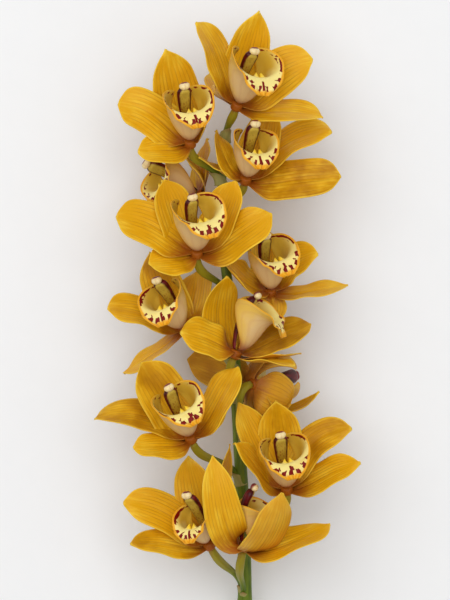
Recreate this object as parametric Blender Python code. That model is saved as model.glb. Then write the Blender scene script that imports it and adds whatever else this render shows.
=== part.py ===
"""Cymbidium orchid stem: a cut flower stalk with 13 waxy golden blooms, lying on a surface.

The stalk runs along Y, with its cut end at -Y, and the blooms look up (+Z) and towards the tip (+Y).
All sizes in the tables are millimetres. The origin lies on the surface, under the middle of the stem.
"""

import math
from collections import namedtuple

import bmesh
import bpy
from mathutils import Matrix, Vector

MM = 0.001

# The hub of a bloom, where its tepals join, and the gap that its neighbours keep to it
HUB_RADIUS = 4.2
HUB_HALF_HEIGHT = 2.8
HUB_SIDES = 10
SEAT_GAP = 0.3

# A tepal's blade. Its claw starts inside the hub, the petals a little in front of the sepals.
# CLAW_REACH and BEND_PLACE are shares of the length from hub to tip.
TEPAL_THICKNESS = 0.9
PETAL_RAISE = 1.3
CLAW_START = 2.2
CLAW_REACH = 0.2
BEND_PLACE = 0.58
CLAW_END = 0.35

# The grid of a tepal and of a lip, from base to tip and from edge to edge
TEPAL_ROWS = (0.0, 0.16, 0.38, 0.64, 0.87, 1.0)
TEPAL_COLUMNS = (-1.0, -0.42, 0.42, 1.0)
LIP_ROWS = (0.0, 0.2, 0.4, 0.55, 0.68, 0.86, 1.0)
LIP_COLUMNS = (-1.0, -0.66, -0.3, 0.0, 0.3, 0.66, 1.0)

# Width of a tepal along its length, as a share of its greatest width
TEPAL_KEYS = (0.0, 0.12, 0.3, 0.55, 0.8, 0.93, 1.0)
POINTED_WIDTHS = (0.26, 0.54, 0.9, 1.0, 0.84, 0.5, 0.08)
BLUNT_WIDTHS = (0.26, 0.54, 0.9, 1.0, 0.98, 0.82, 0.4)

# The lip. Its floor springs LIP_START below the bloom's axis and runs forward, then hangs over at its front.
# Its side lobes reach up to the column, and its sheet curls from flat at the front to a deep trough.
LIP_THICKNESS = 0.9
LIP_START = 1.6
LIP_FLOOR = ((9.0, 14.0, 0.0), (44.0, 6.0, 0.0), (24.0, 24.0, 0.0))
LOBE_REACH = 5.0
LOBE_END = 0.75
REACH_KEYS = (0.0, 0.2, 0.4, 0.5, 0.6, 0.72, 0.84, 0.94, 1.0)
REACHES = (3.6, 18.0, 31.0, 35.0, 29.0, 17.0, 13.0, 9.0, 4.0)
CURL_KEYS = (0.0, 0.2, 0.4, 0.5, 0.6, 0.72, 0.84, 1.0)
CURL_DEGREES = (70.0, 112.0, 148.0, 158.0, 118.0, 44.0, 14.0, 1.0)

# The column arches over the lip, and its anther cap closes its end. Shares run along its middle line.
COLUMN_START = -1.6
COLUMN_ARCH = ((14.0, -6.5, 0.0), (28.0, -8.5, 0.0), (41.0, -3.0, 0.0))
COLUMN_SIDES = 6
COLUMN_SHARES = (0.0, 0.25, 0.6, 0.87, 0.93)
COLUMN_RADII = (2.3, 3.0, 4.2, 4.8, 3.8)
COLUMN_FLATNESS = 0.72
CAP_SHARES = (0.945, 0.975, 1.01, 1.05)
CAP_RADII = (3.0, 3.6, 3.0, 1.4)
CAP_FLATNESS = 0.8

# The stalk: a tapered rachis, and a pedicel to each bloom that swells to an ovary behind the hub
RACHIS_FOOT_RADIUS = 5.4
RACHIS_TIP_RADIUS = 3.0
RACHIS_TAPER = 1.4
RACHIS_STEPS = 20
RACHIS_SIDES = 8
PEDICEL_STEPS = 6
PEDICEL_SIDES = 6
PEDICEL_KEYS = (0.0, 0.4, 0.8, 1.0)
PEDICEL_RADII = (2.1, 2.1, 3.1, 2.6)

# The rachis, from its cut end, which lies on the surface, to its tip
RACHIS = [
    (13.0, -250.0, 4.9),
    (13.0, -225.0, 4.9),
    (13.0, -200.0, 6.0),
    (13.0, -160.0, 12.0),
    (13.0, -120.0, 22.0),
    (12.0, -80.0, 31.0),
    (10.0, -40.0, 37.5),
    (7.0, 10.0, 41.0),
    (4.0, 60.0, 42.0),
    (0.0, 90.0, 42.0),
    (-2.0, 150.0, 42.0),
    (0.0, 172.0, 44.0),
]

Tepal = namedtuple("Tepal", "tip width bow sweep roll cup blunt")
Bloom = namedtuple("Bloom", "throat lean rise turn root lip_size tepals")


def tepal(tip, width=26.0, bow=4.0, sweep=0.0, roll=0.0, cup=0.12, blunt=0.0):
    """One sepal or petal: its tip, its width, how its blade bends and how blunt its end is."""
    return Tepal(tip, width, bow, sweep, roll, cup, blunt)


# Each bloom: its throat, where lip and column spring, the lean of its axis from +Y towards +X,
# the rise of its axis from level, the turn of its lip about that axis, the Y of its pedicel's root
# on the rachis, and its lip's size. Its tepals: upper sepal, left petal, right petal, left sepal,
# right sepal.
BLOOMS = [
    Bloom((8.5, 191.8, 62.0), 21, 32, 33, 165.0, 1.08, [
        tepal((22.0, 250.0, 64.0), 29.0, -7.0, 1.0),
        tepal((-19.0, 243.0, 66.0), 29.0, 3.0, 3.0, blunt=0.5),
        tepal((56.5, 219.0, 64.0), 31.0, 4.0, -5.0, 35.0, blunt=0.6),
        tepal((-10.0, 213.0, 28.0), 21.0, 0.0),
        tepal((63.0, 182.0, 72.0), 25.0, 3.0, -1.0, 10.0, blunt=0.3),
    ]),
    Bloom((-22.8, 167.7, 62.0), -4, 32, 15, 138.0, 1.0, [
        tepal((-38.0, 226.0, 64.0), 34.0, -6.0, 2.0),
        tepal((-69.0, 190.0, 64.0), 29.0, 4.0, 5.0, -38.0, blunt=1.0),
        tepal((-7.0, 203.0, 55.0), 24.0, 0.0, 7.0, -50.0),
        tepal((-56.0, 160.0, 74.0), 25.0, 2.0, -2.0, -20.0, blunt=0.5),
        tepal((-31.0, 205.0, 36.0), 22.0, 0.0),
    ]),
    Bloom((13.7, 144.3, 54.0), 12, 32, 22, 118.0, 0.92, [
        tepal((30.5, 190.0, 48.0), 27.0, -2.0),
        tepal((-6.0, 174.0, 57.0), 20.0, 0.0, -4.0),
        tepal((69.0, 173.0, 58.0), 28.0, 3.0, -9.0, 8.0, blunt=0.6),
        tepal((-17.0, 156.6, 60.0), 16.0, 1.0, 0.0, 20.0),
        tepal((75.0, 144.0, 60.0), 29.0, 3.0, 0.0, 32.0, blunt=0.6),
    ]),
    Bloom((-19.0, 134.0, 32.0), -62, 15, -30, 104.0, 0.95, [
        tepal((-33.0, 174.0, 44.0), 28.0, 1.0),
        tepal((-49.0, 116.0, 0.0), 24.0, 1.0),
        tepal((-11.0, 170.0, 30.0), 24.0, 1.0),
        tepal((-40.0, 98.0, 22.0), 24.0, 1.0),
        tepal((-18.0, 160.0, 2.0), 24.0, 1.0),
    ]),
    Bloom((-18.2, 96.2, 72.0), -2, 32, 25, 62.0, 1.05, [
        tepal((-39.0, 142.0, 66.0), 29.0, -2.0, 0.0, blunt=0.3),
        tepal((-70.0, 117.5, 70.0), 33.0, 4.0, 4.0, -22.0, blunt=1.0),
        tepal((7.0, 141.0, 66.0), 29.0, -2.0, 0.0, blunt=0.3),
        tepal((-49.0, 88.0, 82.0), 26.0, 2.0, -1.0, -20.0, blunt=0.4),
        tepal((30.0, 120.0, 76.0), 31.0, 3.0, 2.0, 25.0, blunt=0.4),
    ]),
    Bloom((29.3, 71.5, 46.0), -2, 30, 30, 36.0, 1.0, [
        tepal((27.0, 112.0, 0.0), 24.0, 1.0),
        tepal((-1.3, 91.0, 56.0), 30.0, -1.0, -4.0, 0.0, 0.3),
        tepal((60.5, 94.0, 46.0), 28.0, 2.0, -7.0, 12.0, blunt=0.3),
        tepal((29.0, 50.0, 52.0), 22.0, 0.0),
        tepal((80.0, 74.5, 44.0), 24.0, 2.0, 5.0, -8.0),
    ]),
    Bloom((-27.3, 46.8, 58.0), -31, 30, -25, 18.0, 0.95, [
        tepal((-48.8, 95.5, 52.0), 28.0, -2.0, -2.0),
        tepal((-76.0, 58.0, 56.0), 29.0, 3.0, 4.0, blunt=1.0),
        tepal((-17.0, 84.0, 36.0), 30.0, -1.0, 0.0, blunt=0.3),
        tepal((-66.5, 17.0, 42.0), 22.0, 1.0, -2.5, 6.0),
        tepal((-11.0, 64.0, 44.0), 24.0, 0.0),
    ]),
    Bloom((7.8, 31.9, 64.0), 25, 10, 80, -4.0, 1.0, [
        tepal((2.0, 79.3, 66.0), 30.0, -9.0, 0.0, -35.0, blunt=0.2),
        tepal((-28.6, 43.6, 78.0), 30.0, 2.0, 1.0, -38.0, blunt=0.3),
        tepal((56.0, 48.0, 46.0), 34.0, 0.0, -2.0, blunt=0.8),
        tepal((49.4, 30.0, 56.0), 22.0, 0.0, 0.0, -20.0),
        tepal((45.0, 22.8, 74.0), 26.0, 2.0, 1.0, blunt=0.4),
    ]),
    Bloom((-22.8, -22.8, 70.0), -21, 32, 17, -58.0, 1.0, [
        tepal((-54.0, 24.0, 70.0), 35.0, -2.0, 2.0, blunt=0.3),
        tepal((-84.0, -13.0, 66.0), 26.0, 4.0, 9.0, -5.0, blunt=0.3),
        tepal((9.0, 21.0, 70.0), 32.0, 2.0, 2.0, blunt=0.3),
        tepal((-59.0, -29.5, 78.0), 25.0, 2.0, -2.0, -15.0, blunt=0.5),
        tepal((2.6, 7.0, 56.0), 24.0, 0.0),
    ]),
    Bloom((20.0, 10.0, 43.0), 80, -50, 180, -32.0, 0.95, [
        tepal((42.0, -3.0, 30.0), 30.0, -7.0, 0.0, -49.0),
        tepal((62.0, 4.0, 26.0), 22.0, -14.0, 0.0, 75.0),
        tepal((-25.0, 25.0, 20.0), 28.0, 4.0, blunt=0.5),
        tepal((18.0, -30.0, 0.0), 26.0, 0.0),
        tepal((40.0, 42.0, 0.0), 24.0, 0.0),
    ]),
    Bloom((39.7, -55.9, 62.0), -6, 32, 11, -92.0, 1.0, [
        tepal((33.0, -1.3, 64.0), 30.0, -7.0),
        tepal((8.5, -2.0, 58.0), 26.0, 0.0),
        tepal((82.0, -19.0, 60.0), 25.0, 3.0, -11.0, 22.0, blunt=0.5),
        tepal((6.5, -27.0, 76.0), 28.0, 1.0),
        tepal((87.0, -39.5, 70.0), 25.0, 2.0, -1.0, 15.0),
    ]),
    Bloom((-11.3, -91.7, 62.0), -26, 32, -32, -134.0, 0.79, [
        tepal((-24.0, -36.4, 60.0), 28.0, -2.0, -2.5),
        tepal((-65.7, -67.0, 60.0), 27.0, 3.0, 6.0, -15.0, blunt=0.6),
        tepal((-9.0, -51.4, 34.0), 18.0, -6.0),
        tepal((-61.0, -92.0, 70.0), 23.0, 2.0, 2.0, -15.0, blunt=0.3),
        tepal((-4.0, -72.0, 34.0), 21.0, 0.0),
    ]),
    Bloom((13.0, -92.3, 64.0), 14, 16, 88, -138.0, 0.81, [
        tepal((3.3, -28.6, 64.0), 15.0, -5.0),
        tepal((-8.0, -35.0, 86.0), 25.0, 9.0, -4.0, -84.0),
        tepal((58.0, -84.0, 40.0), 22.0, 0.0),
        tepal((35.8, -58.0, 96.0), 30.0, -8.0),
        tepal((67.6, -79.5, 66.0), 32.0, 2.0, 7.0, 12.0, blunt=0.2),
    ]),
]


def smooth_read(keys, values, place):
    """Read a value at a place between keys, eased by a smooth curve through the values."""
    last = len(keys) - 1
    if place <= keys[0]:
        return values[0]
    if place >= keys[last]:
        return values[last]
    left = max(i for i in range(last) if keys[i] <= place)
    span = keys[left + 1] - keys[left]
    t = (place - keys[left]) / span
    before = values[max(left - 1, 0)]
    after = values[min(left + 2, last)]
    start = values[left]
    end = values[left + 1]
    gap_before = keys[left + 1] - keys[max(left - 1, 0)]
    gap_after = keys[min(left + 2, last)] - keys[left]
    slope_start = (end - before) * (span / gap_before)
    slope_end = (after - start) * (span / gap_after)
    return (
        start * (2 * t**3 - 3 * t**2 + 1)
        + slope_start * (t**3 - 2 * t**2 + t)
        + end * (3 * t**2 - 2 * t**3)
        + slope_end * (t**3 - t**2)
    )


def bezier(points, t):
    """Read a point on a Bezier curve by repeated mixing."""
    points = [Vector(p) for p in points]
    while len(points) > 1:
        points = [a.lerp(b, t) for a, b in zip(points, points[1:])]
    return points[0]


def bloom_frame(bloom):
    """The bloom's own directions: forward, towards its lip, and to its side."""
    lean = math.radians(bloom.lean)
    rise = math.radians(bloom.rise)
    turn = math.radians(bloom.turn)
    forward = Vector((math.sin(lean) * math.cos(rise), math.cos(lean) * math.cos(rise), math.sin(rise)))
    up_turned = Vector((-math.sin(lean) * math.sin(rise), -math.cos(lean) * math.sin(rise), math.cos(rise)))
    lipward = up_turned * math.cos(turn) + forward.cross(up_turned) * math.sin(turn)
    return forward, lipward, forward.cross(lipward)


def hub_centre(bloom):
    return Vector(bloom.throat) - bloom_frame(bloom)[0] * HUB_HALF_HEIGHT


def tepal_surface(bloom, blade, is_petal):
    """The middle surface of a sepal or petal, as a function of (along, across)."""
    forward = bloom_frame(bloom)[0]
    hub = hub_centre(bloom)
    tip = Vector(blade.tip)
    chord = tip - hub
    front = (forward - chord * (forward.dot(chord) / chord.length_squared)).normalized()
    front = Matrix.Rotation(math.radians(blade.roll), 3, chord.normalized()) @ front
    side = chord.cross(front).normalized()
    bend = hub + chord * BEND_PLACE + front * (2 * blade.bow) + side * (2 * blade.sweep)
    outward = bend - hub
    outward = (outward - forward * outward.dot(forward)).normalized()
    whorl = PETAL_RAISE if is_petal else -PETAL_RAISE
    claw = hub + outward * CLAW_START + forward * whorl
    curve = (claw, claw + outward * (CLAW_REACH * chord.length), bend, tip)

    def place(along, across):
        middle = bezier(curve, along)
        ahead = (bezier(curve, min(along + 0.02, 1.0)) - bezier(curve, max(along - 0.02, 0.0))).normalized()
        grown = min(along / CLAW_END, 1.0)
        blade_front = forward.lerp(side.cross(ahead).normalized(), grown * grown * (3.0 - 2.0 * grown))
        blade_front = (blade_front - ahead * blade_front.dot(ahead)).normalized()
        blade_side = ahead.cross(blade_front)
        half = 0.5 * blade.width * (
            smooth_read(TEPAL_KEYS, POINTED_WIDTHS, along) * (1.0 - blade.blunt)
            + smooth_read(TEPAL_KEYS, BLUNT_WIDTHS, along) * blade.blunt
        )
        lift = blade.cup * half * across**2
        return middle + blade_side * (half * across) + blade_front * lift

    return place


def lip_surface(bloom):
    """The middle surface of the three-lobed lip, as a function of (along, across)."""
    forward, lipward, side = bloom_frame(bloom)
    hub = hub_centre(bloom)
    start = HUB_HALF_HEIGHT + SEAT_GAP + LIP_THICKNESS
    size = bloom.lip_size
    curve = [Vector((start, LIP_START, 0.0))] + [Vector(spot) * size for spot in LIP_FLOOR]

    def place(along, across):
        spot = bezier(curve, along)
        ahead = (bezier(curve, min(along + 0.02, 1.0)) - bezier(curve, max(along - 0.02, 0.0))).normalized()
        inward = Vector((ahead.y, -ahead.x, 0.0))
        reach = smooth_read(REACH_KEYS, REACHES, along) * size
        curl = math.radians(smooth_read(CURL_KEYS, CURL_DEGREES, along))
        radius = reach / curl
        angle = curl * across
        spot = spot + inward * (radius * (1.0 - math.cos(angle)))
        spot.z = radius * math.sin(angle)
        spot.x += LOBE_REACH * across**2 * math.sin(math.pi * min(along / LOBE_END, 1.0)) ** 2
        return hub + forward * spot.x + lipward * spot.y + side * spot.z

    return place


def sheet_mesh(place, rows, columns, thickness):
    """A closed thin blade around a middle surface, split into triangles alike on both faces."""
    mesh = bmesh.new()
    step = 0.01
    front = []
    back = []
    for along in rows:
        front_row = []
        back_row = []
        for across in columns:
            middle = place(along, across)
            along_edge = place(min(along + step, 1.0), across) - place(max(along - step, 0.0), across)
            across_edge = place(along, min(across + step, 1.0)) - place(along, max(across - step, -1.0))
            normal = across_edge.cross(along_edge).normalized()
            high = middle + normal * (thickness / 2)
            low = middle - normal * (thickness / 2)
            if min(high.z, low.z) < 0.0:
                upper = high if high.z > low.z else low
                lower = low if high.z > low.z else high
                lower.z = 0.0
                upper.z = max(upper.z, thickness)
            front_row.append(mesh.verts.new(high * MM))
            back_row.append(mesh.verts.new(low * MM))
        front.append(front_row)
        back.append(back_row)
    last_row = len(rows) - 1
    last_column = len(columns) - 1
    for i in range(last_row):
        for j in range(last_column):
            for grid, turned in ((front, False), (back, True)):
                corners = (grid[i][j], grid[i][j + 1], grid[i + 1][j + 1], grid[i + 1][j])
                for trio in ((0, 1, 2), (0, 2, 3)):
                    face = [corners[k] for k in trio]
                    mesh.faces.new(face[::-1] if turned else face)
    border = [(0, j) for j in range(last_column)]
    border += [(i, last_column) for i in range(last_row)]
    border += [(last_row, j) for j in range(last_column, 0, -1)]
    border += [(i, 0) for i in range(last_row, 0, -1)]
    for (i, j), (k, m) in zip(border, border[1:] + border[:1]):
        mesh.faces.new((front[k][m], front[i][j], back[i][j]))
        mesh.faces.new((front[k][m], back[i][j], back[k][m]))
    return mesh


def tube_mesh(path, radii, sides, flatness=1.0, flat_way=None, first_way=None, last_way=None):
    """A closed tube along a path. Its end faces stand square to the first and last way."""
    mesh = bmesh.new()
    path = [Vector(p) for p in path]
    rings = []
    guide = Vector((0.0, 0.0, 1.0)) if flat_way is None else flat_way
    for i, (centre, radius) in enumerate(zip(path, radii)):
        ahead = (path[min(i + 1, len(path) - 1)] - path[max(i - 1, 0)]).normalized()
        if i == 0 and first_way is not None:
            ahead = first_way
        if i == len(path) - 1 and last_way is not None:
            ahead = last_way
        level = ahead.cross(guide).normalized()
        upright = level.cross(ahead).normalized()
        ring = []
        for k in range(sides):
            angle = 2 * math.pi * (k + 0.5) / sides
            spot = centre + level * (radius * math.sin(angle)) - upright * (radius * flatness * math.cos(angle))
            ring.append(mesh.verts.new(spot * MM))
        rings.append(ring)
    for lower, upper in zip(rings, rings[1:]):
        for k in range(sides):
            mesh.faces.new((lower[k], lower[(k + 1) % sides], upper[(k + 1) % sides], upper[k]))
    mesh.faces.new(rings[0][::-1])
    mesh.faces.new(rings[-1])
    return mesh


def add_object(name, mesh, material):
    """Make an object from a bmesh, with all faces out."""
    bmesh.ops.recalc_face_normals(mesh, faces=mesh.faces)
    data = bpy.data.meshes.new(name)
    mesh.to_mesh(data)
    mesh.free()
    data.shade_smooth()
    data.materials.append(material)
    item = bpy.data.objects.new(name, data)
    bpy.context.scene.collection.objects.link(item)
    return item


def fuse(name, meshes, material):
    """Join overlapping bodies into one solid with a Boolean union."""
    parts = bpy.data.collections.new(name + "_parts")
    items = [add_object(f"{name}_{i}", mesh, material) for i, mesh in enumerate(meshes)]
    base = items[0]
    for item in items[1:]:
        bpy.context.scene.collection.objects.unlink(item)
        parts.objects.link(item)
    union = base.modifiers.new("union", "BOOLEAN")
    union.operation = "UNION"
    union.operand_type = "COLLECTION"
    union.collection = parts
    union.solver = "EXACT"
    view = bpy.context.evaluated_depsgraph_get()
    data = bpy.data.meshes.new_from_object(base.evaluated_get(view))
    data.name = name
    for item in items:
        bpy.data.objects.remove(item)
    bpy.data.collections.remove(parts)
    data.shade_smooth()
    data.materials.clear()
    data.materials.append(material)
    whole = bpy.data.objects.new(name, data)
    bpy.context.scene.collection.objects.link(whole)
    return whole


def make_material(name, colour, roughness):
    material = bpy.data.materials.new(name)
    material.use_nodes = True
    shader = material.node_tree.nodes["Principled BSDF"]
    shader.inputs["Base Color"].default_value = (*colour, 1.0)
    shader.inputs["Roughness"].default_value = roughness
    shader.inputs["Metallic"].default_value = 0.0
    return material


def hub_mesh(bloom):
    """The short round hub where the five tepals join, with flat ends for its neighbours."""
    forward, lipward, _ = bloom_frame(bloom)
    hub = hub_centre(bloom)
    ends = (hub - forward * HUB_HALF_HEIGHT, hub + forward * HUB_HALF_HEIGHT)
    return tube_mesh(ends, (HUB_RADIUS, HUB_RADIUS), HUB_SIDES, flat_way=lipward)


def build_perianth(name, bloom, material):
    blades = []
    for i, blade in enumerate(bloom.tepals):
        place = tepal_surface(bloom, blade, is_petal=i in (1, 2))
        blades.append(sheet_mesh(place, TEPAL_ROWS, TEPAL_COLUMNS, TEPAL_THICKNESS))
    return fuse(name, [hub_mesh(bloom)] + blades, material)


def build_lip(name, bloom, material):
    return add_object(name, sheet_mesh(lip_surface(bloom), LIP_ROWS, LIP_COLUMNS, LIP_THICKNESS), material)


def column_path(bloom, length_share):
    """A point on the column's middle line, which arches over the lip."""
    forward, lipward, _ = bloom_frame(bloom)
    start = (HUB_HALF_HEIGHT + SEAT_GAP, COLUMN_START, 0.0)
    spot = bezier((start,) + COLUMN_ARCH, length_share)
    return hub_centre(bloom) + forward * spot.x + lipward * spot.y


def build_column(name, bloom, material):
    forward, lipward, _ = bloom_frame(bloom)
    path = [column_path(bloom, share) for share in COLUMN_SHARES]
    mesh = tube_mesh(path, COLUMN_RADII, COLUMN_SIDES, COLUMN_FLATNESS, lipward, first_way=forward)
    return add_object(name, mesh, material)


def build_anther_cap(name, bloom, material):
    lipward = bloom_frame(bloom)[1]
    path = [column_path(bloom, share) for share in CAP_SHARES]
    return add_object(name, tube_mesh(path, CAP_RADII, COLUMN_SIDES, CAP_FLATNESS, lipward), material)


def rachis_radius(y):
    share = (y - RACHIS[1][1]) / (RACHIS[-1][1] - RACHIS[1][1])
    return RACHIS_FOOT_RADIUS + (RACHIS_TIP_RADIUS - RACHIS_FOOT_RADIUS) * max(share, 0.0) ** RACHIS_TAPER


def rachis_point(y):
    """A point on the rachis' middle line, never lower than where its flat lower side meets the surface."""
    keys = [spot[1] for spot in RACHIS]
    x = smooth_read(keys, [spot[0] for spot in RACHIS], y)
    z = smooth_read(keys, [spot[2] for spot in RACHIS], y)
    return Vector((x, y, max(z, rachis_radius(y) * math.cos(math.pi / RACHIS_SIDES))))


def pedicel_curve(bloom):
    """The pedicel's route from inside the rachis to the back of the hub."""
    forward = bloom_frame(bloom)[0]
    root = rachis_point(bloom.root)
    end = hub_centre(bloom) - forward * (HUB_HALF_HEIGHT + SEAT_GAP)
    span = (end - root).length
    return (root, root + Vector((0.0, 0.35 * span, 0.0)) + (end - root) * 0.12, end - forward * (0.4 * span), end)


def build_stalk(material):
    low = RACHIS[0][1]
    high = RACHIS[-1][1]
    levels = [low + (high - low) * i / RACHIS_STEPS for i in range(RACHIS_STEPS + 1)]
    route = [rachis_point(y) for y in levels]
    meshes = [tube_mesh(route, [rachis_radius(y) for y in levels], RACHIS_SIDES)]
    shares = [i / PEDICEL_STEPS for i in range(PEDICEL_STEPS + 1)]
    radii = [smooth_read(PEDICEL_KEYS, PEDICEL_RADII, share) for share in shares]
    for bloom in BLOOMS:
        route = [bezier(pedicel_curve(bloom), share) for share in shares]
        meshes.append(tube_mesh(route, radii, PEDICEL_SIDES, last_way=bloom_frame(bloom)[0]))
    return fuse("flower_stalk", meshes, material)


def clear_scene():
    for item in list(bpy.data.objects):
        bpy.data.objects.remove(item)


def main():
    clear_scene()
    tepal_gold = make_material("tepal_gold", (0.72, 0.36, 0.015), 0.4)
    lip_cream = make_material("lip_cream", (0.85, 0.72, 0.25), 0.42)
    column_maroon = make_material("column_maroon", (0.12, 0.012, 0.02), 0.35)
    anther_ivory = make_material("anther_ivory", (0.86, 0.75, 0.35), 0.45)
    stalk_green = make_material("stalk_green", (0.16, 0.24, 0.03), 0.45)
    build_stalk(stalk_green)
    for number, bloom in enumerate(BLOOMS, start=1):
        name = f"bloom_{number:02d}"
        build_perianth(name + "_perianth", bloom, tepal_gold)
        build_lip(name + "_lip", bloom, lip_cream)
        build_column(name + "_column", bloom, column_maroon)
        build_anther_cap(name + "_anther_cap", bloom, anther_ivory)


main()
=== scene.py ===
# %% [markdown]
# # A cut stem of cymbidium orchid
#
# A cymbidium carries a dozen or more waxy blooms along one thick green stalk. Each bloom has three
# sepals and two petals, which florists call tepals because they look alike, a lip that catches the
# visitor's eye with its spots, and a column that arches over the lip and ends in a pale anther cap.
# This lesson dresses a plain engineering model of such a stem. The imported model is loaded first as
# a fixed frame, and every finer piece is then built in the very space that its plain solid holds.

# %% Load the frame
import math
from collections import namedtuple

import bpy
import numpy as np
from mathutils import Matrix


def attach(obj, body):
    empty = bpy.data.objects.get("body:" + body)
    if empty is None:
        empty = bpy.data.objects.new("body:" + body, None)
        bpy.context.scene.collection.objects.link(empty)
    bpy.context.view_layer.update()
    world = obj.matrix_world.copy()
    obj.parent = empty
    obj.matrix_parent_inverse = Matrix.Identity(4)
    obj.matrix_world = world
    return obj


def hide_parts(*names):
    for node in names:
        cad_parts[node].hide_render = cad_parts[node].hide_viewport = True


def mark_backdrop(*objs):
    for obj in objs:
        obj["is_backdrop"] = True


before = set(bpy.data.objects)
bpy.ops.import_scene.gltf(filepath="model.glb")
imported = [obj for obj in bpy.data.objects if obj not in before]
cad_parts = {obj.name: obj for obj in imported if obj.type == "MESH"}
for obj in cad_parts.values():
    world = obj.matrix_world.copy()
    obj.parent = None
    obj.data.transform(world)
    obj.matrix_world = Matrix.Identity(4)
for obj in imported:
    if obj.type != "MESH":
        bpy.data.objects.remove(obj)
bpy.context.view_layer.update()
print("plain solids:", len(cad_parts))

# %% [markdown]
# ## Units and a few vector words
#
# The tables below are in millimetres, because a grower thinks of a bloom in millimetres, and a mesh
# is turned into metres only when it is made. All shapes are worked out as whole grids of points with
# numpy, which is quick and keeps each formula on one line.

# %% Units and vector words
MM = 0.001
UPWARD = np.array((0.0, 0.0, 1.0))


def unit(vectors):
    """Vectors of length one, for one vector or for many."""
    return vectors / np.linalg.norm(vectors, axis=-1, keepdims=True)


def smooth_step(low, high, values):
    """0 below low, 1 above high, and an even curve between."""
    share = np.clip((np.asarray(values, float) - low) / (high - low), 0.0, 1.0)
    return share * share * (3.0 - 2.0 * share)


def bump_at(centre, width, values):
    """A bell that is 1 at its centre."""
    return np.exp(-(((np.asarray(values, float) - centre) / width) ** 2))


def eased(keys, values, places):
    """Read values at places between keys, on a smooth curve through them."""
    keys = np.array(keys, float)
    values = np.array(values, float)
    places = np.clip(np.asarray(places, float), keys[0], keys[-1])
    left = np.clip(np.searchsorted(keys, places, side="right") - 1, 0, len(keys) - 2)
    before = np.maximum(left - 1, 0)
    after = np.minimum(left + 2, len(keys) - 1)
    span = keys[left + 1] - keys[left]
    t = (places - keys[left]) / span
    slope_start = (values[left + 1] - values[before]) * span / (keys[left + 1] - keys[before])
    slope_end = (values[after] - values[left]) * span / (keys[after] - keys[left])
    return (
        values[left] * (2 * t**3 - 3 * t**2 + 1)
        + slope_start * (t**3 - 2 * t**2 + t)
        + values[left + 1] * (3 * t**2 - 2 * t**3)
        + slope_end * (t**3 - t**2)
    )


def bezier(points, shares):
    """Points on a Bezier curve, by repeated mixing."""
    shares = np.atleast_1d(shares)[:, None]
    layers = [np.array(point, float) + 0.0 * shares for point in points]
    while len(layers) > 1:
        layers = [a * (1.0 - shares) + b * shares for a, b in zip(layers, layers[1:])]
    return layers[0]


def triples(first, second, third):
    """Three grids of numbers, stretched to one shape, as a grid of vectors."""
    return np.stack(np.broadcast_arrays(first, second, third), axis=-1)


print("halfway between 0 and 1:", float(smooth_step(0.0, 1.0, 0.5)))

# %% [markdown]
# ## Shader maths in plain Python
#
# A petal's colour is a sum of many small effects: veins, a flush at its base, a pale edge. In the
# node editor that is a forest of Math nodes. Here one small class wraps a socket, so that an
# expression such as 1 - edge * 0.3 adds the Math nodes by itself. Colours go through Mix nodes,
# because a Math node would turn them grey.

# %% A wire and a finish
class Wire:
    """One output socket of a finish, with the arithmetic that a mask needs."""

    def __init__(self, finish, socket):
        self.finish = finish
        self.socket = socket

    def maths(self, operation, first, second=None):
        inputs = {0: first} if second is None else {0: first, 1: second}
        return self.finish.add("ShaderNodeMath", {"operation": operation}, inputs)

    def __add__(self, other):
        return self.maths("ADD", self, other)

    def __sub__(self, other):
        return self.maths("SUBTRACT", self, other)

    def __mul__(self, other):
        return self.maths("MULTIPLY", self, other)

    def __rsub__(self, other):
        return self.maths("SUBTRACT", other, self)

    __radd__ = __add__
    __rmul__ = __mul__

    def size(self):
        return self.maths("ABSOLUTE", self)

    def sine(self):
        return self.maths("SINE", self)

    def step(self, low, high):
        """0 below low, 1 above high. With low above high it falls instead."""
        return self.finish.add(
            "ShaderNodeMapRange",
            {"interpolation_type": "SMOOTHSTEP", "clamp": True},
            {"Value": self, "From Min": low, "From Max": high, "To Min": 0.0, "To Max": 1.0},
        )


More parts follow.
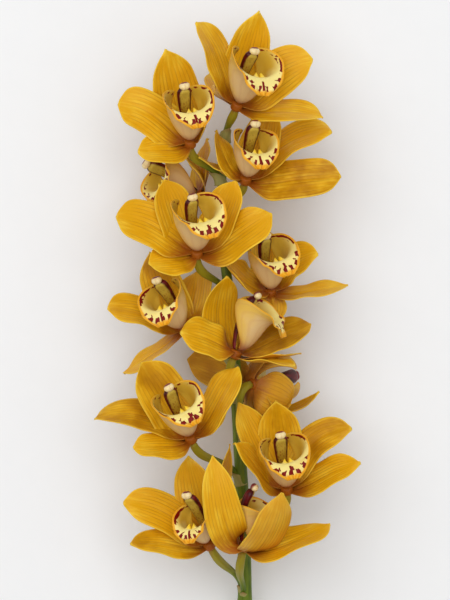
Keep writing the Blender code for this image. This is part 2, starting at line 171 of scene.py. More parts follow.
class Finish:
    """A material whose nodes are added one by one around its Principled shader."""

    def __init__(self, name, shine=0.5, glow=0.0, tint=(1.0, 1.0, 1.0), depth=1.0):
        """Light glows inside it down to a depth in millimetres, and comes out with a tint."""
        self.material = bpy.data.materials.new(name)
        self.material.use_nodes = True
        self.nodes = self.material.node_tree.nodes
        self.links = self.material.node_tree.links
        self.shader = self.nodes["Principled BSDF"]
        self.shader.inputs["Specular IOR Level"].default_value = shine
        self.shader.inputs["Subsurface Weight"].default_value = glow
        self.shader.inputs["Subsurface Radius"].default_value = tint
        self.shader.inputs["Subsurface Scale"].default_value = depth * MM

    def add(self, kind, settings=None, sockets=None, output=0):
        """Add a node: its settings first, then the values or wires of its sockets."""
        node = self.nodes.new(kind)
        for name, value in (settings or {}).items():
            setattr(node, name, value)
        for name, value in (sockets or {}).items():
            self.feed(node.inputs[name], value)
        return Wire(self, node.outputs[output])

    def feed(self, socket, value):
        if isinstance(value, Wire):
            self.links.new(value.socket, socket)
        else:
            socket.default_value = value

    def reading(self, name):
        """The three numbers of a vector that the mesh carries."""
        vector = self.add("ShaderNodeAttribute", {"attribute_name": name}, output="Vector")
        return [self.add("ShaderNodeSeparateXYZ", {}, {0: vector}, axis) for axis in range(3)]

    def vector(self, x, y, z):
        return self.add("ShaderNodeCombineXYZ", {}, {0: x, 1: y, 2: z})

    def noise(self, vector, scale, detail=2.0, roughness=0.5):
        sockets = {"Vector": vector, "Scale": scale, "Detail": detail, "Roughness": roughness}
        return self.add("ShaderNodeTexNoise", {}, sockets)

    def blend(self, first, second, share):
        """One colour turning into another as share goes from 0 to 1."""
        colours = [(*c, 1.0) if isinstance(c, tuple) else c for c in (first, second)]
        return self.add(
            "ShaderNodeMix", {"data_type": "RGBA"}, {0: share, 6: colours[0], 7: colours[1]}, output=2
        )

    def paint(self, colour, *coats):
        """Lay coats over a colour in turn. A coat is its colour and the share that it covers."""
        for coat, share in coats:
            colour = self.blend(colour, coat, share)
        return colour

    def bump(self, height, strength, distance):
        sockets = {"Height": height, "Strength": strength, "Distance": distance * MM}
        return self.add("ShaderNodeBump", {}, sockets)

    def done(self, colour, roughness, normal=None):
        self.feed(self.shader.inputs["Base Color"], colour)
        self.feed(self.shader.inputs["Roughness"], roughness)
        if normal is not None:
            self.feed(self.shader.inputs["Normal"], normal)
        print(self.material.name, "has", len(self.nodes), "nodes")
        return self.material


# %% [markdown]
# ## The tepals' finish
#
# A cymbidium's tepal is golden and waxy. Parallel veins of a deeper orange run from its claw to its
# tip about a millimetre apart, its margin is paler, and its claw is flushed orange red. The gold is
# also darkened towards the claw as painted shade, where the tepals meet at the hub. The mesh carries
# where each point lies on the tepal, so the veins follow the blade however it bends: share holds
# (across, along, front or back) and place holds the same in millimetres, with the distance to the
# margin as its third number.

# %% Golden tepals
GOLD = (0.74, 0.37, 0.004)
PALE_GOLD = (0.95, 0.66, 0.05)
# A deep gold, used for darker tone and for the painted shade towards the claw.
DEEP_AND_SHADED_GOLD = (0.44, 0.185, 0.002)
VEIN = (0.34, 0.11, 0.002)
FLUSH = (0.28, 0.045, 0.006)
BACK_TINT = (0.55, 0.24, 0.04)
VEIN_COUNT = 12
TONE_SPREAD = 60.0


def tepal_finish():
    finish = Finish("golden_tepal", shine=0.16, glow=0.12, tint=(1.0, 0.8, 0.3), depth=1.2)
    across, along, front = finish.reading("share")
    across_mm, along_mm, rim_mm = finish.reading("place")
    tone = finish.reading("tone")[0]
    spot = finish.vector(across_mm, along_mm, tone * TONE_SPREAD)
    cloud = finish.noise(spot, 0.055, 3.0)
    stretched = finish.vector(across_mm, along_mm * 0.12, tone * TONE_SPREAD)
    streak = finish.noise(stretched, 0.5, 3.0, 0.6)
    wander = (finish.noise(stretched, 0.22) - 0.5) * 2.2
    vein = (across * (VEIN_COUNT * math.pi) + wander).sine().step(0.35, 1.0)
    vein = vein * streak.step(0.3, 0.62) * along.step(0.97, 0.75)
    crease = (across.size() + along * 0.012).step(0.07, 0.0) * along.step(0.9, 0.35)
    gold = finish.blend(DEEP_AND_SHADED_GOLD, GOLD, (cloud + tone * 0.5).step(0.3, 0.72))
    # Painted shade: the gold darkens towards the claw, where the tepals meet at the hub.
    gold = finish.blend(DEEP_AND_SHADED_GOLD, gold, (along + cloud * 0.5).step(0.25, 0.75) * 0.6 + 0.4)
    flush = (along + (streak - 0.5) * 0.3 - tone * 0.08).step(0.4, 0.04)
    gold = finish.paint(
        gold,
        (PALE_GOLD, (cloud * 0.6 + streak * 0.5).step(0.50, 0.74) * 0.5),
        (PALE_GOLD, rim_mm.step(1.3, 0.2) * 0.6),
        (VEIN, vein * 0.42),
        (FLUSH, crease * 0.4),
        (FLUSH, flush * 0.8),
    )
    back = finish.blend(gold, BACK_TINT, 0.3)
    colour = finish.blend(back, gold, front)
    grain = finish.noise(finish.vector(across_mm, along_mm, front), 2.2)
    height = grain * 0.25 - vein * 0.5 - crease
    return finish.done(colour, 0.34 + grain * 0.12, finish.bump(height, 0.7, 0.25))


golden_tepal = tepal_finish()

# %% [markdown]
# ## The lip's finish
#
# The lip is cream inside, with a bright yellow callus, and its rim is a wavy band of orange gold.
# Just inside the rim a row of maroon blotches runs round the front lobe, with one long dash in its
# middle, and the side lobes are golden with finer beads. Outside it is a pinkish cream, with painted
# shade where it joins the tepals. A row of blotches needs the distance to the margin in millimetres,
# and the angle round the front lobe, which is the second number of tone here.

# %% Cream lip
CREAM = (0.92, 0.76, 0.26)
LOBE_GOLD = (0.66, 0.40, 0.035)
RIM_GOLD = (0.84, 0.38, 0.004)
CALLUS_YELLOW = (0.95, 0.62, 0.015)
MAROON = (0.20, 0.003, 0.001)
OCHRE = (0.78, 0.50, 0.06)
CHIN = (0.72, 0.48, 0.21)
CHIN_SIDE = (0.74, 0.46, 0.08)
CHIN_VEIN = (0.55, 0.24, 0.10)
# Painted shade for where the lip's outside joins the tepals.
CHIN_JOIN_SHADE = (0.34, 0.07, 0.04)


def lip_finish():
    finish = Finish("cream_lip", shine=0.2, glow=0.05, tint=(1.0, 0.8, 0.4), depth=0.8)
    across, along, front = finish.reading("share")
    across_mm, along_mm, rim_mm = finish.reading("place")
    tone, round_rim, _ = finish.reading("tone")
    spot = finish.vector(across_mm, along_mm, tone * TONE_SPREAD)
    cloud = finish.noise(spot, 0.12)
    fine = finish.noise(spot, 0.9)
    lobe = along.step(0.54, 0.64)
    edge = rim_mm + (fine - 0.5) * 1.2
    drift = (finish.noise(spot, 0.3, 1.0) - 0.5) * 5.0
    beads = (round_rim * 14.0 + drift + tone * 6.0).sine().step(-0.15, 0.1)
    row = (edge + drift * 0.15).step(1.5, 1.9) * (edge + drift * 0.3).step(4.3, 3.6)
    row = row * along.step(0.54, 0.58)
    dashes = (round_rim * 7.0 + drift + 1.0).sine().step(0.82, 0.92)
    dash_row = edge.step(3.4, 4.0) * edge.step(6.6, 5.8) * lobe
    side_beads = (along * 95.0 + drift).sine().step(0.25, 0.45) * edge.step(1.2, 1.6) * edge.step(3.3, 2.7)
    side_beads = side_beads * along.step(0.40, 0.46) * along.step(0.58, 0.54)
    middle_dash = across_mm.size().step(0.95, 0.55) * edge.step(1.6, 2.0) * edge.step(7.5, 6.5) * lobe
    marks = (beads * row + dashes * dash_row + side_beads * 0.8 + middle_dash).step(0.2, 0.7)
    golden_wall = (across.size() + (cloud - 0.5) * 0.3).step(0.25, 0.6) * along.step(0.72, 0.54)
    callus = (across_mm.size() + along * 3.0).step(6.2, 4.6) * along.step(0.74, 0.68)
    inside = finish.paint(
        CREAM,
        (LOBE_GOLD, golden_wall),
        (CALLUS_YELLOW, callus * 0.95),
        (OCHRE, cloud.step(0.5, 0.75) * 0.4),
        (RIM_GOLD, edge.step(2.6, 1.2) * (lobe * 0.7 + 0.25)),
        (MAROON, marks),
    )
    veins = (across * 30.0 + cloud * 5.0).sine().step(0.3, 1.0)
    outside = finish.paint(
        CHIN,
        (CHIN_SIDE, (cloud * 0.5 + across.size()).step(0.5, 1.0)),
        (CHIN_VEIN, veins * 0.15),
        # Painted shade: darker near the lip's foot, where its outside joins the tepals.
        (CHIN_JOIN_SHADE, (along + (cloud - 0.5) * 0.2).step(0.26, 0.0) * 0.8),
        (RIM_GOLD, rim_mm.step(1.6, 0.5) * 0.7),
    )
    colour = finish.blend(outside, inside, front)
    height = fine * 0.3 + veins * 0.25
    return finish.done(colour, 0.4 + fine * 0.12, finish.bump(height, 0.45, 0.2))


cream_lip = lip_finish()

# %% [markdown]
# ## The column's and the anther cap's finish
#
# The column is dark maroon on its back and along its sides. On the side that faces the lip it is
# olive yellow with fine red dashes, darkened with painted shade, most towards its foot. Its cap is
# ivory and matt, with a faint groove. The share that the mesh carries here is (how far it faces the
# lip, the place along the column, 0).

# %% Maroon column and ivory cap
# A yellow darkened with painted shade, for the column's side that faces the lip.
SHADED_OLIVE = (0.40, 0.25, 0.02)
PALE_OLIVE = (0.58, 0.42, 0.06)
DARK_MAROON = (0.05, 0.003, 0.004)
RED_MAROON = (0.20, 0.010, 0.012)
IVORY_SHADE = (0.80, 0.60, 0.26)
IVORY = (0.90, 0.75, 0.42)
GROOVE_BROWN = (0.50, 0.20, 0.08)
HOOD_RED = (0.20, 0.02, 0.02)


def column_finish():
    finish = Finish("maroon_column", shine=0.25)
    lip_side, along, _ = finish.reading("share")
    across_mm, along_mm, _ = finish.reading("place")
    spot = finish.vector(across_mm, along_mm * 0.5, 0.0)
    speck = finish.noise(spot, 1.1, 1.0)
    cloud = finish.noise(spot, 0.25)
    # The side facing the lip: its own yellow darkened with painted shade, most towards the column's foot.
    belly = finish.blend(SHADED_OLIVE, PALE_OLIVE, along.step(0.5, 0.95))
    belly = finish.blend(belly, MAROON, speck.step(0.56, 0.62) * along.step(1.0, 0.4) * 0.8)
    back = finish.blend(DARK_MAROON, RED_MAROON, cloud.step(0.35, 0.75))
    facing_lip = (lip_side + (cloud - 0.5) * 0.5 - along * 0.15).step(0.4, 0.7)
    colour = finish.blend(back, belly, facing_lip)
    return finish.done(colour, 0.3 + speck * 0.12, finish.bump(cloud + speck * 0.3, 0.3, 0.2))


def cap_finish():
    finish = Finish("ivory_cap", glow=0.25, tint=(1.0, 0.8, 0.5), depth=1.5)
    lip_side, _, _ = finish.reading("share")
    across_mm, along_mm, _ = finish.reading("place")
    cloud = finish.noise(finish.vector(across_mm, along_mm, lip_side), 0.8)
    colour = finish.blend(IVORY_SHADE, IVORY, cloud)
    colour = finish.blend(colour, GROOVE_BROWN, across_mm.size().step(0.4, 0.1) * 0.25)
    colour = finish.blend(HOOD_RED, colour, lip_side.step(-0.7, -0.1))
    return finish.done(colour, 0.42 + cloud * 0.1, finish.bump(cloud, 0.3, 0.15))


maroon_column = column_finish()
ivory_cap = cap_finish()

# %% [markdown]
# ## The stalk's finish
#
# The stalk is a fresh olive green with paler streaks along its ribs, and its pedicels turn yellow
# and a little red towards the blooms. Where it was cut it shows pale pith with darker vessels. The
# share here is (around, along, 1 on the cut), and its tone says how close a pedicel is to its bloom.

# %% Green stalk
DARK_GREEN = (0.055, 0.10, 0.003)
FRESH_GREEN = (0.17, 0.235, 0.012)
PALE_GREEN = (0.28, 0.34, 0.03)
RIPE_YELLOW = (0.36, 0.27, 0.01)
RIPE_RED = (0.30, 0.07, 0.02)
PITH = (0.62, 0.60, 0.30)
VESSEL = (0.34, 0.33, 0.10)
BRACT_GREEN = (0.20, 0.22, 0.04)
BRACT_STRAW = (0.42, 0.36, 0.12)
BRACT_BROWN = (0.30, 0.17, 0.05)


def stalk_finish():
    finish = Finish("green_stalk", shine=0.25, glow=0.1, tint=(0.6, 0.8, 0.2), depth=2.0)
    _, _, cut = finish.reading("share")
    across_mm, along_mm, _ = finish.reading("place")
    ripe = finish.reading("tone")[0]
    fibre = finish.noise(finish.vector(across_mm * 1.6, along_mm * 0.05, 0.0), 1.0, 3.0, 0.6)
    cloud = finish.noise(finish.vector(across_mm * 0.2, along_mm * 0.05, 3.0), 1.0, 3.0)
    green = finish.paint(
        DARK_GREEN,
        (FRESH_GREEN, cloud.step(0.3, 0.7)),
        (PALE_GREEN, fibre.step(0.5, 0.75) * 0.5),
        (RIPE_YELLOW, (ripe + fibre * 0.2).step(0.35, 0.95) * 0.8),
        (RIPE_RED, (ripe + (cloud - 0.5) * 0.5).step(0.9, 1.15) * 0.6),
    )
    vessels = finish.noise(finish.vector(across_mm, along_mm, 9.0), 1.6, 1.0)
    pith = finish.blend(PITH, VESSEL, vessels.step(0.52, 0.62))
    colour = finish.blend(green, pith, cut)
    height = fibre + cloud * 0.4
    return finish.done(colour, 0.4 + fibre * 0.12, finish.bump(height, 0.4, 0.25))


def bract_finish():
    finish = Finish("papery_bract", shine=0.35)
    _, along, front = finish.reading("share")
    across_mm, along_mm, _ = finish.reading("place")
    fibre = finish.noise(finish.vector(across_mm * 2.0, along_mm * 0.15, front), 1.0, 3.0)
    colour = finish.blend(BRACT_GREEN, BRACT_STRAW, fibre)
    colour = finish.blend(colour, BRACT_BROWN, along.step(0.6, 1.0) * 0.8)
    return finish.done(colour, 0.55 + fibre * 0.15, finish.bump(fibre, 0.5, 0.2))


green_stalk = stalk_finish()
papery_bract = bract_finish()

# %% [markdown]
# ## The stem's driving sizes
#
# These are the sizes of the plain solids, repeated here because every finer piece has to lie in the
# space of its own solid. A bloom has a throat, an axis that leans and rises, a turn of its lip about
# that axis, and five tepals, each named by its tip, its width and how its blade bends.

# %% Driving sizes
HUB_RADIUS = 4.2
HUB_HALF_HEIGHT = 2.8
SEAT_GAP = 0.3
TEPAL_THICKNESS = 0.9
PETAL_RAISE = 1.3
CLAW_START = 2.2
CLAW_REACH = 0.2
BEND_PLACE = 0.58
CLAW_END = 0.35
TEPAL_KEYS = (0.0, 0.12, 0.3, 0.55, 0.8, 0.93, 1.0)
POINTED_WIDTHS = (0.26, 0.54, 0.9, 1.0, 0.84, 0.5, 0.08)
BLUNT_WIDTHS = (0.26, 0.54, 0.9, 1.0, 0.98, 0.82, 0.4)

LIP_THICKNESS = 0.9
LIP_START = 1.6
LIP_FLOOR = ((9.0, 14.0, 0.0), (44.0, 6.0, 0.0), (24.0, 24.0, 0.0))
LOBE_REACH = 5.0
LOBE_END = 0.75
REACH_KEYS = (0.0, 0.2, 0.4, 0.5, 0.6, 0.72, 0.84, 0.94, 1.0)
REACHES = (3.6, 18.0, 31.0, 35.0, 29.0, 17.0, 13.0, 9.0, 4.0)
CURL_KEYS = (0.0, 0.2, 0.4, 0.5, 0.6, 0.72, 0.84, 1.0)
CURL_DEGREES = (70.0, 112.0, 148.0, 158.0, 118.0, 44.0, 14.0, 1.0)

COLUMN_START = -1.6
COLUMN_ARCH = ((14.0, -6.5, 0.0), (28.0, -8.5, 0.0), (41.0, -3.0, 0.0))
COLUMN_SHARES = (0.0, 0.25, 0.6, 0.87, 0.93)
COLUMN_RADII = (2.3, 3.0, 4.2, 4.8, 3.8)
COLUMN_FLATNESS = 0.72
COLUMN_END = 0.945
CAP_END = 1.05
CAP_RADIUS = 3.6
CAP_FLATNESS = 0.8

RACHIS_FOOT_RADIUS = 5.4
RACHIS_TIP_RADIUS = 3.0
RACHIS_TAPER = 1.4
RACHIS_SIDES = 8
PEDICEL_KEYS = (0.0, 0.4, 0.8, 1.0)
PEDICEL_RADII = (2.1, 2.1, 3.1, 2.6)
# The middle line of the rachis: x, y and z from its cut end to its tip.
RACHIS = [
    (13, -250, 4.9), (13, -225, 4.9), (13, -200, 6), (13, -160, 12), (13, -120, 22), (12, -80, 31),
    (10, -40, 37.5), (7, 10, 41), (4, 60, 42), (0, 90, 42), (-2, 150, 42), (0, 172, 44),
]

Tepal = namedtuple("Tepal", "tip width bow sweep roll cup blunt")
Bloom = namedtuple("Bloom", "throat lean rise turn root lip_size tepals")


def tepal(tip, width=26.0, bow=4.0, sweep=0.0, roll=0.0, cup=0.12, blunt=0.0):
    """One sepal or petal: its tip, its width, how its blade bends and how blunt its end is."""
    return Tepal(tip, width, bow, sweep, roll, cup, blunt)


# Tepals of a bloom: upper sepal, left petal, right petal, left sepal, right sepal.
BLOOMS = [
    Bloom((8.5, 191.8, 62), 21, 32, 33, 165, 1.08, [
        tepal((22, 250, 64), 29, -7, 1),
        tepal((-19, 243, 66), 29, 3, 3, blunt=0.5),
        tepal((56.5, 219, 64), 31, 4, -5, 35, blunt=0.6),
        tepal((-10, 213, 28), 21, 0),
        tepal((63, 182, 72), 25, 3, -1, 10, blunt=0.3),
    ]),
    Bloom((-22.8, 167.7, 62), -4, 32, 15, 138, 1, [
        tepal((-38, 226, 64), 34, -6, 2),
        tepal((-69, 190, 64), 29, 4, 5, -38, blunt=1),
        tepal((-7, 203, 55), 24, 0, 7, -50),
        tepal((-56, 160, 74), 25, 2, -2, -20, blunt=0.5),
        tepal((-31, 205, 36), 22, 0),
    ]),
    Bloom((13.7, 144.3, 54), 12, 32, 22, 118, 0.92, [
        tepal((30.5, 190, 48), 27, -2),
        tepal((-6, 174, 57), 20, 0, -4),
        tepal((69, 173, 58), 28, 3, -9, 8, blunt=0.6),
        tepal((-17, 156.6, 60), 16, 1, 0, 20),
        tepal((75, 144, 60), 29, 3, 0, 32, blunt=0.6),
    ]),
    Bloom((-19, 134, 32), -62, 15, -30, 104, 0.95, [
        tepal((-33, 174, 44), 28, 1),
        tepal((-49, 116, 0), 24, 1),
        tepal((-11, 170, 30), 24, 1),
        tepal((-40, 98, 22), 24, 1),
        tepal((-18, 160, 2), 24, 1),
    ]),
    Bloom((-18.2, 96.2, 72), -2, 32, 25, 62, 1.05, [
        tepal((-39, 142, 66), 29, -2, 0, blunt=0.3),
        tepal((-70, 117.5, 70), 33, 4, 4, -22, blunt=1),
        tepal((7, 141, 66), 29, -2, 0, blunt=0.3),
        tepal((-49, 88, 82), 26, 2, -1, -20, blunt=0.4),
        tepal((30, 120, 76), 31, 3, 2, 25, blunt=0.4),
    ]),
    Bloom((29.3, 71.5, 46), -2, 30, 30, 36, 1, [
        tepal((27, 112, 0), 24, 1),
        tepal((-1.3, 91, 56), 30, -1, -4, 0, 0.3),
        tepal((60.5, 94, 46), 28, 2, -7, 12, blunt=0.3),
        tepal((29, 50, 52), 22, 0),
        tepal((80, 74.5, 44), 24, 2, 5, -8),
    ]),
    Bloom((-27.3, 46.8, 58), -31, 30, -25, 18, 0.95, [
        tepal((-48.8, 95.5, 52), 28, -2, -2),
        tepal((-76, 58, 56), 29, 3, 4, blunt=1),
        tepal((-17, 84, 36), 30, -1, 0, blunt=0.3),
        tepal((-66.5, 17, 42), 22, 1, -2.5, 6),
        tepal((-11, 64, 44), 24, 0),
    ]),
    Bloom((7.8, 31.9, 64), 25, 10, 80, -4, 1, [
        tepal((2, 79.3, 66), 30, -9, 0, -35, blunt=0.2),
        tepal((-28.6, 43.6, 78), 30, 2, 1, -38, blunt=0.3),
        tepal((56, 48, 46), 34, 0, -2, blunt=0.8),
        tepal((49.4, 30, 56), 22, 0, 0, -20),
        tepal((45, 22.8, 74), 26, 2, 1, blunt=0.4),
    ]),
    Bloom((-22.8, -22.8, 70), -21, 32, 17, -58, 1, [
        tepal((-54, 24, 70), 35, -2, 2, blunt=0.3),
        tepal((-84, -13, 66), 26, 4, 9, -5, blunt=0.3),
        tepal((9, 21, 70), 32, 2, 2, blunt=0.3),
        tepal((-59, -29.5, 78), 25, 2, -2, -15, blunt=0.5),
        tepal((2.6, 7, 56), 24, 0),
    ]),
    Bloom((20, 10, 43), 80, -50, 180, -32, 0.95, [
        tepal((42, -3, 30), 30, -7, 0, -49),
        tepal((62, 4, 26), 22, -14, 0, 75),
        tepal((-25, 25, 20), 28, 4, blunt=0.5),
        tepal((18, -30, 0), 26, 0),
        tepal((40, 42, 0), 24, 0),
    ]),
    Bloom((39.7, -55.9, 62), -6, 32, 11, -92, 1, [
        tepal((33, -1.3, 64), 30, -7),
        tepal((8.5, -2, 58), 26, 0),
        tepal((82, -19, 60), 25, 3, -11, 22, blunt=0.5),
        tepal((6.5, -27, 76), 28, 1),
        tepal((87, -39.5, 70), 25, 2, -1, 15),
    ]),
    Bloom((-11.3, -91.7, 62), -26, 32, -32, -134, 0.79, [
        tepal((-24, -36.4, 60), 28, -2, -2.5),
        tepal((-65.7, -67, 60), 27, 3, 6, -15, blunt=0.6),
        tepal((-9, -51.4, 34), 18, -6),
        tepal((-61, -92, 70), 23, 2, 2, -15, blunt=0.3),
        tepal((-4, -72, 34), 21, 0),
    ]),
    Bloom((13, -92.3, 64), 14, 16, 88, -138, 0.81, [
        tepal((3.3, -28.6, 64), 15, -5),
        tepal((-8, -35, 86), 25, 9, -4, -84),
        tepal((58, -84, 40), 22, 0),
        tepal((35.8, -58, 96), 30, -8),
        tepal((67.6, -79.5, 66), 32, 2, 7, 12, blunt=0.2),
    ]),
]

print("blooms:", len(BLOOMS), "tepals:", sum(len(bloom.tepals) for bloom in BLOOMS))


# %% [markdown]
# Each bloom has three directions of its own: forward along its axis, towards its lip, and to its side.

# %% A bloom's own directions
def bloom_frame(bloom):
    """Forward along the bloom's axis, towards its lip, and to its side."""
    lean, rise, turn = (math.radians(angle) for angle in (bloom.lean, bloom.rise, bloom.turn))
    forward = np.array((math.sin(lean) * math.cos(rise), math.cos(lean) * math.cos(rise), math.sin(rise)))
    up_turned = np.array(
        (-math.sin(lean) * math.sin(rise), -math.cos(lean) * math.sin(rise), math.cos(rise))
    )
    lipward = up_turned * math.cos(turn) + np.cross(forward, up_turned) * math.sin(turn)
    return forward, lipward, np.cross(forward, lipward)


def hub_centre(bloom):
    return np.array(bloom.throat) - bloom_frame(bloom)[0] * HUB_HALF_HEIGHT


def for_each_bloom(*builders):
    """Call every builder with a bloom's number and the bloom, bloom by bloom."""
    for number, bloom in enumerate(BLOOMS, start=1):
        for build in builders:
            build(number, bloom)


print("first bloom faces", bloom_frame(BLOOMS[0])[0].round(2))

# %% [markdown]
# ## Turning a grid of points into a piece
#
# A tepal and a lip are thin shells: one grid of points down the middle, moved out to both faces and
# closed along the border. A stalk or a column is a closed tube. Solidify or a skin would also do
# this, but with the points in hand each face can have its own relief, and the numbers that the
# finishes read can be written as attributes in the same pass.

# %% Make an object and its readings
LOWEST_SHELL = 0.02


def put_in_scene(name, data):
    """A new object with this data, linked to the scene."""
    made = bpy.data.objects.new(name, data)
    bpy.context.scene.collection.objects.link(made)
    return made


def make_piece(name, points, faces, readings, finish, node):
    """A mesh object from points in millimetres, with the vectors that its finish reads."""
    mesh = bpy.data.meshes.new(name)
    mesh.from_pydata((points * MM).tolist(), [], faces)
    mesh.validate()
    for reading, values in readings.items():
        layer = mesh.attributes.new(reading, "FLOAT_VECTOR", "POINT")
        layer.data.foreach_set("vector", np.asarray(values, np.float32).ravel())
    mesh.shade_smooth()
    mesh.materials.append(finish)
    piece = put_in_scene(name, mesh)
    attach(piece, "root")
    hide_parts(node)
    return piece


def grid_faces(rows, columns, offset, turned):
    """The quads of a grid whose points are numbered row by row."""
    faces = []
    for i in range(rows - 1):
        for j in range(columns - 1):
            first = offset + i * columns + j
            quad = (first, first + 1, first + 1 + columns, first + columns)
            faces.append(quad[::-1] if turned else quad)
    return faces


def shell(middle, thickness, facing, relief=0.0):
    """The two faces of a thin shell. The front looks towards facing and carries the relief."""
    down = np.gradient(middle, axis=0)
    over = np.gradient(middle, axis=1)
    normal = unit(np.cross(over, down))
    centre = normal[middle.shape[0] // 2, middle.shape[1] // 2]
    if centre @ facing < 0:
        normal = -normal
    lift = (np.asarray(thickness) / 2)[..., None]
    front = middle + normal * (lift + np.asarray(relief)[..., None])
    return front, middle - normal * lift


def shell_readings(back, share, **others):
    """The vectors of both faces. The last number of share is kept behind only where back is 1."""
    readings = {"share": np.concatenate([share.reshape(-1, 3), (share * (1.0, 1.0, back)).reshape(-1, 3)])}
    for reading, values in others.items():
        readings[reading] = np.concatenate([values.reshape(-1, 3)] * 2)
    return readings


def shell_piece(name, grid, thickness, facing, readings, finish, node, relief=0.0):
    """Give a grid its two faces and close them along their border into one piece."""
    front, back = shell(grid, thickness, facing, relief)
    rows, columns = front.shape[:2]
    count = rows * columns
    step_down = front[1:, :-1] - front[:-1, :-1]
    step_over = front[:-1, 1:] - front[:-1, :-1]
    middle = np.cross(step_over, step_down)[rows // 2, columns // 2]
    turned = bool(middle @ facing < 0)
    faces = grid_faces(rows, columns, 0, turned) + grid_faces(rows, columns, count, not turned)
    border = list(range(columns - 1))
    border += [i * columns + columns - 1 for i in range(rows - 1)]
    border += [(rows - 1) * columns + j for j in range(columns - 1, 0, -1)]
    border += [i * columns for i in range(rows - 1, 0, -1)]
    for here, there in zip(border, border[1:] + border[:1]):
        side = (there, here, count + here, count + there)
        faces.append(side[::-1] if turned else side)
    points = np.concatenate([front.reshape(-1, 3), back.reshape(-1, 3)])
    points[:, 2] = np.maximum(points[:, 2], LOWEST_SHELL)
    return make_piece(name, points, faces, readings, finish, node)


print("a shell has two faces and a border")

# %% [markdown]
# ## One tepal
#
# A tepal springs from the hub on a narrow claw, opens into a blade and ends in a blunt or pointed
# tip. A real blade is never flat: its midrib sinks a little, its margins wave, and its tip hooks
# forward. The blade follows one curve from the claw to the tip, each cross line is laid square to
# it, and the waves grow towards the margins, where a petal has the most freedom to move.

# %% Tepal shape
TEPAL_ROWS = 42
TEPAL_COLUMNS = 23
TIP_START = 0.74
TEPAL_EDGE = 0.5
SEPAL_SINK = 1.2
WAVE_HEIGHT = 1.05
SWAY_HEIGHT = 0.5
MIDRIB_DEPTH = 0.55
RIB_HEIGHT = 0.1
HOOK_HEIGHT = 1.1


def tepal_outline(blade, along, rng):
    """Half the width along a tepal, rounded off at its tip and never quite even."""
    width = eased(TEPAL_KEYS, POINTED_WIDTHS, along) * (1.0 - blade.blunt)
    width += eased(TEPAL_KEYS, BLUNT_WIDTHS, along) * blade.blunt
    closing = np.clip((along - TIP_START) / (1.0 - TIP_START), 0.0, 1.0)
    power = 3.0 + 3.0 * blade.blunt
    rounded = np.sqrt(np.clip(1.0 - closing**power, 0.0, 1.0))
    drift = 1.0 + 0.025 * np.sin(along * rng.uniform(7.0, 11.0) + rng.uniform(0.0, 6.0))
    return np.maximum(0.5 * blade.width * width * rounded * drift, 0.12)


def tepal_grid(bloom, blade, is_petal, rng):
    """The middle points of a tepal, its half widths, and the way its front faces."""
    forward = bloom_frame(bloom)[0]
    hub = hub_centre(bloom)
    tip = np.array(blade.tip)
    chord = tip - hub
    length = np.linalg.norm(chord)
    front = unit(forward - chord * (forward @ chord) / length**2)
    roll = math.radians(blade.roll)
    front = front * math.cos(roll) + np.cross(chord / length, front) * math.sin(roll)
    side = unit(np.cross(chord, front))
    bend = hub + chord * BEND_PLACE + front * (2 * blade.bow) + side * (2 * blade.sweep)
    outward = bend - hub
    outward = unit(outward - forward * (outward @ forward))
    claw = hub + outward * CLAW_START + forward * (PETAL_RAISE if is_petal else -PETAL_RAISE)
    along = 1.0 - (1.0 - np.linspace(0.0, 1.0, TEPAL_ROWS)) ** 1.35
    middle = bezier((claw, claw + outward * (CLAW_REACH * length), bend, tip), along)
    ahead = unit(np.gradient(middle, axis=0))
    grown = smooth_step(0.0, CLAW_END, along)[:, None]
    blade_front = forward * (1.0 - grown) + unit(np.cross(side, ahead)) * grown
    blade_front = unit(blade_front - ahead * np.sum(blade_front * ahead, axis=1, keepdims=True))
    blade_side = np.cross(ahead, blade_front)
    half = tepal_outline(blade, along, rng)
    across = np.linspace(-1.0, 1.0, TEPAL_COLUMNS)
    lift = blade.cup * half[:, None] * across**2 + tepal_waves(along, across, rng)
    if not is_petal:
        lift = lift - SEPAL_SINK * smooth_step(0.15, 0.4, along)[:, None]
    grid = middle[:, None] + blade_side[:, None] * (half[:, None] * across)[..., None]
    return grid + blade_front[:, None] * lift[..., None], along, across, half, length, blade_front


def tepal_waves(along, across, rng):
    """How far a blade stands off its smooth form: waves, a sunk midrib and a hooked tip."""
    along = along[:, None]
    free = smooth_step(0.32, 0.62, along)
    waves = 0.0
    for way in (-1.0, 1.0):
        margin = np.clip(across * way, 0.0, 1.0) ** 2.2
        turns = rng.uniform(8.0, 14.0)
        waves = waves + WAVE_HEIGHT * margin * free * np.sin(turns * along + rng.uniform(0.0, 6.3))
    sway = SWAY_HEIGHT * free * np.sin(5.0 * along + rng.uniform(0.0, 6.3)) * across
    run = smooth_step(0.05, 0.2, along) * smooth_step(1.0, 0.7, along)
    midrib = -MIDRIB_DEPTH * bump_at(0.0, 0.1, across) * run
    ribs = RIB_HEIGHT * np.cos(across * 21.0) * free * (1.0 - across**2)
    hook = HOOK_HEIGHT * smooth_step(0.84, 1.0, along) * (1.0 - across**2)
    return waves + sway + midrib + ribs + hook


print("points in one tepal:", 2 * TEPAL_ROWS * TEPAL_COLUMNS)


# %% [markdown]
# Petals spring a little above the sepals, and the sepals sink behind them, as they do in a bud. Each
# tepal has its own seed, so that no two wave alike.

# %% All tepals
TEPAL_NAMES = ("upper_sepal", "left_petal", "right_petal", "left_sepal", "right_sepal")


